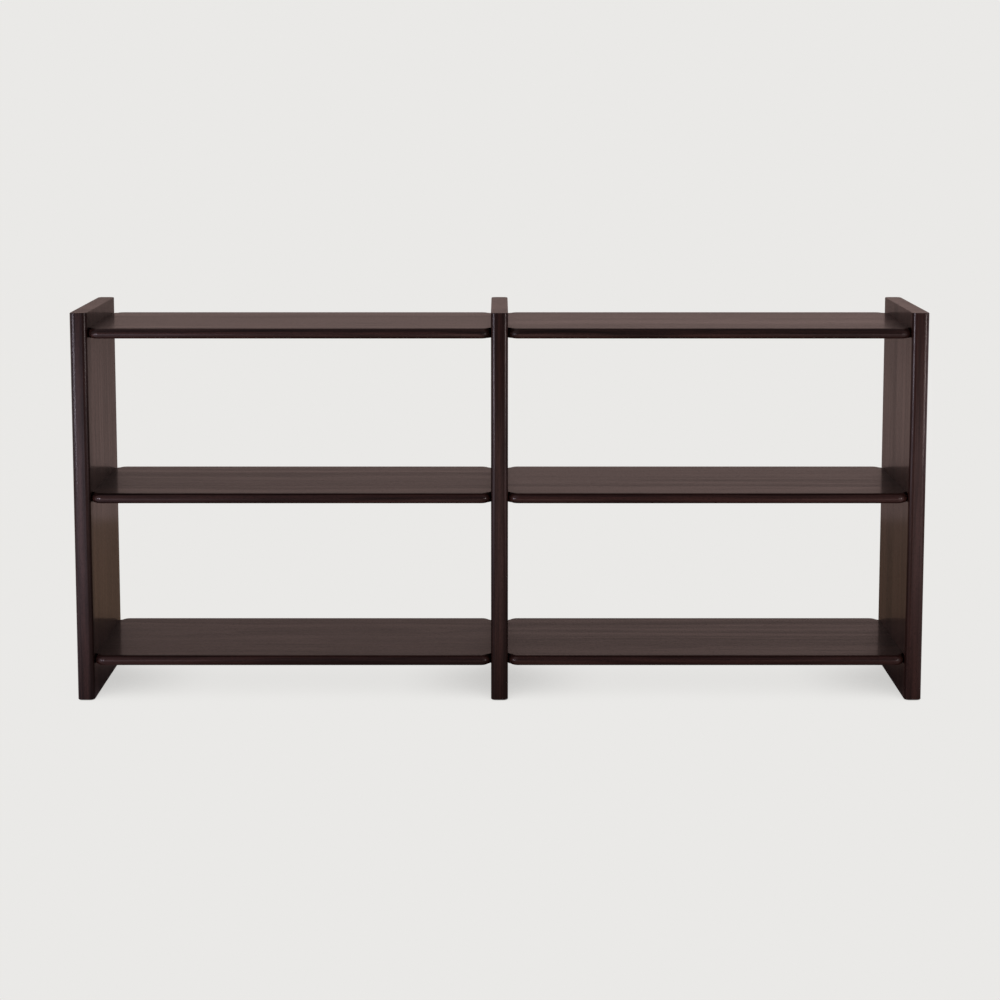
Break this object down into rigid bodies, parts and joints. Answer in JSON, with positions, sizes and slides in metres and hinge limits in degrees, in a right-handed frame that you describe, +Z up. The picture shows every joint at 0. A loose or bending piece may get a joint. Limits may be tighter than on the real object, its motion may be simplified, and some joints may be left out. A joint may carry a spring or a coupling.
{
  "type": "shelving unit",
  "caption": "Low open shelving unit of two bays in dark stained wood, with full-depth uprights and bullnosed shelves held by cam locks.",
  "frame": {"origin": "on the floor, under the middle of the unit", "axes": "+X along the width with the left bay on the -X side, +Y from the front to the back, +Z up"},
  "size_m": [2, 0.36, 0.925],
  "materials": {
    "dark_stained_wood": "dark brown stain under satin varnish",
    "cam_zinc": "die-cast zinc, nickel plated",
    "bolt_steel": "turned steel, zinc plated",
    "insert_brass": "turned brass",
    "dowel_beech": "plain beech",
    "glide_nylon": "matt nylon"
  },
  "bodies": {
    "rack": {"left_upright": "dark_stained_wood", "centre_upright": "dark_stained_wood", "right_upright": "dark_stained_wood", "left_bottom_shelf": "dark_stained_wood", "left_middle_shelf": "dark_stained_wood", "left_top_shelf": "dark_stained_wood", "right_bottom_shelf": "dark_stained_wood", "right_middle_shelf": "dark_stained_wood", "right_top_shelf": "dark_stained_wood", "left_upright_bolts": "bolt_steel", "left_upright_dowels": "dowel_beech", "left_upright_glides": "glide_nylon", "centre_upright_bolts": "bolt_steel", "centre_upright_dowels": "dowel_beech", "centre_upright_glides": "glide_nylon", "right_upright_bolts": "bolt_steel", "right_upright_dowels": "dowel_beech", "right_upright_glides": "glide_nylon", "left_upright_inserts": "insert_brass", "right_upright_inserts": "insert_brass"},
    "left_bottom_outer_front_cam": {"left_bottom_outer_front_cam": "cam_zinc"},
    "left_bottom_outer_back_cam": {"left_bottom_outer_back_cam": "cam_zinc"},
    "left_bottom_inner_front_cam": {"left_bottom_inner_front_cam": "cam_zinc"},
    "left_bottom_inner_back_cam": {"left_bottom_inner_back_cam": "cam_zinc"},
    "left_middle_outer_front_cam": {"left_middle_outer_front_cam": "cam_zinc"},
    "left_middle_outer_back_cam": {"left_middle_outer_back_cam": "cam_zinc"},
    "left_middle_inner_front_cam": {"left_middle_inner_front_cam": "cam_zinc"},
    "left_middle_inner_back_cam": {"left_middle_inner_back_cam": "cam_zinc"},
    "left_top_outer_front_cam": {"left_top_outer_front_cam": "cam_zinc"},
    "left_top_outer_back_cam": {"left_top_outer_back_cam": "cam_zinc"},
    "left_top_inner_front_cam": {"left_top_inner_front_cam": "cam_zinc"},
    "left_top_inner_back_cam": {"left_top_inner_back_cam": "cam_zinc"},
    "right_bottom_outer_front_cam": {"right_bottom_outer_front_cam": "cam_zinc"},
    "right_bottom_outer_back_cam": {"right_bottom_outer_back_cam": "cam_zinc"},
    "right_bottom_inner_front_cam": {"right_bottom_inner_front_cam": "cam_zinc"},
    "right_bottom_inner_back_cam": {"right_bottom_inner_back_cam": "cam_zinc"},
    "right_middle_outer_front_cam": {"right_middle_outer_front_cam": "cam_zinc"},
    "right_middle_outer_back_cam": {"right_middle_outer_back_cam": "cam_zinc"},
    "right_middle_inner_front_cam": {"right_middle_inner_front_cam": "cam_zinc"},
    "right_middle_inner_back_cam": {"right_middle_inner_back_cam": "cam_zinc"},
    "right_top_outer_front_cam": {"right_top_outer_front_cam": "cam_zinc"},
    "right_top_outer_back_cam": {"right_top_outer_back_cam": "cam_zinc"},
    "right_top_inner_front_cam": {"right_top_inner_front_cam": "cam_zinc"},
    "right_top_inner_back_cam": {"right_top_inner_back_cam": "cam_zinc"}
  },
  "joints": [
    {"name": "left_bottom_outer_front_cam_turn", "type": "hinge", "parent": "rack", "child": "left_bottom_outer_front_cam", "pos_m": [-0.926, -0.096, 0.096], "axis": [0, 0, -1], "range_deg": [0, 180]},
    {"name": "left_bottom_outer_back_cam_turn", "type": "hinge", "parent": "rack", "child": "left_bottom_outer_back_cam", "pos_m": [-0.926, 0.096, 0.096], "axis": [0, 0, -1], "range_deg": [0, 180]},
    {"name": "left_bottom_inner_front_cam_turn", "type": "hinge", "parent": "rack", "child": "left_bottom_inner_front_cam", "pos_m": [-0.054, -0.096, 0.096], "axis": [0, 0, -1], "range_deg": [0, 180]},
    {"name": "left_bottom_inner_back_cam_turn", "type": "hinge", "parent": "rack", "child": "left_bottom_inner_back_cam", "pos_m": [-0.054, 0.096, 0.096], "axis": [0, 0, -1], "range_deg": [0, 180]},
    {"name": "left_middle_outer_front_cam_turn", "type": "hinge", "parent": "rack", "child": "left_middle_outer_front_cam", "pos_m": [-0.926, -0.096, 0.486], "axis": [0, 0, -1], "range_deg": [0, 180]},
    {"name": "left_middle_outer_back_cam_turn", "type": "hinge", "parent": "rack", "child": "left_middle_outer_back_cam", "pos_m": [-0.926, 0.096, 0.486], "axis": [0, 0, -1], "range_deg": [0, 180]},
    {"name": "left_middle_inner_front_cam_turn", "type": "hinge", "parent": "rack", "child": "left_middle_inner_front_cam", "pos_m": [-0.054, -0.096, 0.486], "axis": [0, 0, -1], "range_deg": [0, 180]},
    {"name": "left_middle_inner_back_cam_turn", "type": "hinge", "parent": "rack", "child": "left_middle_inner_back_cam", "pos_m": [-0.054, 0.096, 0.486], "axis": [0, 0, -1], "range_deg": [0, 180]},
    {"name": "left_top_outer_front_cam_turn", "type": "hinge", "parent": "rack", "child": "left_top_outer_front_cam", "pos_m": [-0.926, -0.096, 0.876], "axis": [0, 0, -1], "range_deg": [0, 180]},
    {"name": "left_top_outer_back_cam_turn", "type": "hinge", "parent": "rack", "child": "left_top_outer_back_cam", "pos_m": [-0.926, 0.096, 0.876], "axis": [0, 0, -1], "range_deg": [0, 180]},
    {"name": "left_top_inner_front_cam_turn", "type": "hinge", "parent": "rack", "child": "left_top_inner_front_cam", "pos_m": [-0.054, -0.096, 0.876], "axis": [0, 0, -1], "range_deg": [0, 180]},
    {"name": "left_top_inner_back_cam_turn", "type": "hinge", "parent": "rack", "child": "left_top_inner_back_cam", "pos_m": [-0.054, 0.096, 0.876], "axis": [0, 0, -1], "range_deg": [0, 180]},
    {"name": "right_bottom_outer_front_cam_turn", "type": "hinge", "parent": "rack", "child": "right_bottom_outer_front_cam", "pos_m": [0.926, -0.096, 0.096], "axis": [0, 0, -1], "range_deg": [0, 180]},
    {"name": "right_bottom_outer_back_cam_turn", "type": "hinge", "parent": "rack", "child": "right_bottom_outer_back_cam", "pos_m": [0.926, 0.096, 0.096], "axis": [0, 0, -1], "range_deg": [0, 180]},
    {"name": "right_bottom_inner_front_cam_turn", "type": "hinge", "parent": "rack", "child": "right_bottom_inner_front_cam", "pos_m": [0.054, -0.096, 0.096], "axis": [0, 0, -1], "range_deg": [0, 180]},
    {"name": "right_bottom_inner_back_cam_turn", "type": "hinge", "parent": "rack", "child": "right_bottom_inner_back_cam", "pos_m": [0.054, 0.096, 0.096], "axis": [0, 0, -1], "range_deg": [0, 180]},
    {"name": "right_middle_outer_front_cam_turn", "type": "hinge", "parent": "rack", "child": "right_middle_outer_front_cam", "pos_m": [0.926, -0.096, 0.486], "axis": [0, 0, -1], "range_deg": [0, 180]},
    {"name": "right_middle_outer_back_cam_turn", "type": "hinge", "parent": "rack", "child": "right_middle_outer_back_cam", "pos_m": [0.926, 0.096, 0.486], "axis": [0, 0, -1], "range_deg": [0, 180]},
    {"name": "right_middle_inner_front_cam_turn", "type": "hinge", "parent": "rack", "child": "right_middle_inner_front_cam", "pos_m": [0.054, -0.096, 0.486], "axis": [0, 0, -1], "range_deg": [0, 180]},
    {"name": "right_middle_inner_back_cam_turn", "type": "hinge", "parent": "rack", "child": "right_middle_inner_back_cam", "pos_m": [0.054, 0.096, 0.486], "axis": [0, 0, -1], "range_deg": [0, 180]},
    {"name": "right_top_outer_front_cam_turn", "type": "hinge", "parent": "rack", "child": "right_top_outer_front_cam", "pos_m": [0.926, -0.096, 0.876], "axis": [0, 0, -1], "range_deg": [0, 180]},
    {"name": "right_top_outer_back_cam_turn", "type": "hinge", "parent": "rack", "child": "right_top_outer_back_cam", "pos_m": [0.926, 0.096, 0.876], "axis": [0, 0, -1], "range_deg": [0, 180]},
    {"name": "right_top_inner_front_cam_turn", "type": "hinge", "parent": "rack", "child": "right_top_inner_front_cam", "pos_m": [0.054, -0.096, 0.876], "axis": [0, 0, -1], "range_deg": [0, 180]},
    {"name": "right_top_inner_back_cam_turn", "type": "hinge", "parent": "rack", "child": "right_top_inner_back_cam", "pos_m": [0.054, 0.096, 0.876], "axis": [0, 0, -1], "range_deg": [0, 180]}
  ]
}
